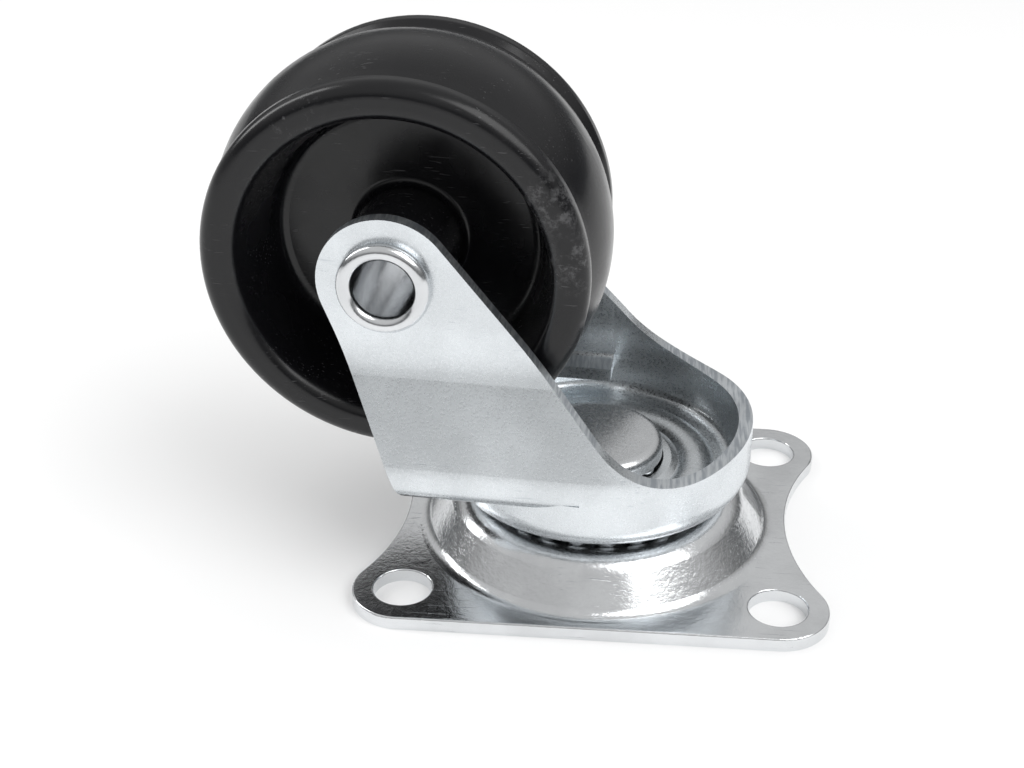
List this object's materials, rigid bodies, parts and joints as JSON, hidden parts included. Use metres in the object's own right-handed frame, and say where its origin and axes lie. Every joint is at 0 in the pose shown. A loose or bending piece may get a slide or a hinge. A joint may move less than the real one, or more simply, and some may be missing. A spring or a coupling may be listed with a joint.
{
  "type": "swivel castor",
  "caption": "Small swivel plate castor: pressed, zinc-plated mounting plate and fork on ball races, a rolled tubular axle and a black plastic wheel with crowned tread and recessed sides.",
  "frame": {"origin": "on the swivel axis, in the plane of the plate's mounting face, at the centre of the bolt holes", "axes": "+Z along the swivel axis from the plate towards the wheel, +X along the plate's long side, away from the side the wheel trails to as stored"},
  "size_m": [0.0787, 0.0494, 0.0671],
  "materials": {
    "plate_zinc": "bright zinc plating on pressed steel, mirror-like on the raised ring",
    "kingpin_zinc": "bright zinc plating",
    "fork_zinc": "satin bluish zinc plating on pressed steel",
    "tube_steel": "bright steel tube with rolled ends",
    "black_plastic": "glossy moulded plastic with light scuffs",
    "ball_steel": "polished steel"
  },
  "bodies": {
    "plate": {"mounting_plate": "plate_zinc", "kingpin": "kingpin_zinc"},
    "fork": {"fork": "fork_zinc", "axle_tube": "tube_steel"},
    "wheel": {"wheel": "black_plastic"},
    "lower_balls": {"lower_ball_01": "ball_steel", "lower_ball_02": "ball_steel", "lower_ball_03": "ball_steel", "lower_ball_04": "ball_steel", "lower_ball_05": "ball_steel", "lower_ball_06": "ball_steel", "lower_ball_07": "ball_steel", "lower_ball_08": "ball_steel", "lower_ball_09": "ball_steel", "lower_ball_10": "ball_steel", "lower_ball_11": "ball_steel", "lower_ball_12": "ball_steel", "lower_ball_13": "ball_steel", "lower_ball_14": "ball_steel", "lower_ball_15": "ball_steel", "lower_ball_16": "ball_steel", "lower_ball_17": "ball_steel", "lower_ball_18": "ball_steel", "lower_ball_19": "ball_steel", "lower_ball_20": "ball_steel", "lower_ball_21": "ball_steel", "lower_ball_22": "ball_steel"},
    "upper_balls": {"upper_ball_01": "ball_steel", "upper_ball_02": "ball_steel", "upper_ball_03": "ball_steel", "upper_ball_04": "ball_steel", "upper_ball_05": "ball_steel", "upper_ball_06": "ball_steel", "upper_ball_07": "ball_steel", "upper_ball_08": "ball_steel", "upper_ball_09": "ball_steel", "upper_ball_10": "ball_steel", "upper_ball_11": "ball_steel", "upper_ball_12": "ball_steel"}
  },
  "joints": [
    {"name": "swivel", "type": "hinge", "parent": "plate", "child": "fork", "pos_m": [0, 0, 0.0142], "axis": [0, 0, 1], "continuous": true},
    {"name": "wheel_spin", "type": "hinge", "parent": "fork", "child": "wheel", "pos_m": [-0.02384, 0.00167, 0.0421], "axis": [0.0698, 0.9976, 0], "continuous": true},
    {"name": "lower_balls_turn", "type": "hinge", "parent": "plate", "child": "lower_balls", "pos_m": [0, 0, 0.0085], "axis": [0, 0, 1], "continuous": true},
    {"name": "upper_balls_turn", "type": "hinge", "parent": "plate", "child": "upper_balls", "pos_m": [0, 0, 0.0115], "axis": [0, 0, 1], "continuous": true}
  ],
  "couplings": [
    {"joint": "lower_balls_turn", "follows": "swivel", "ratio": 0.5},
    {"joint": "upper_balls_turn", "follows": "swivel", "ratio": 0.5}
  ]
}
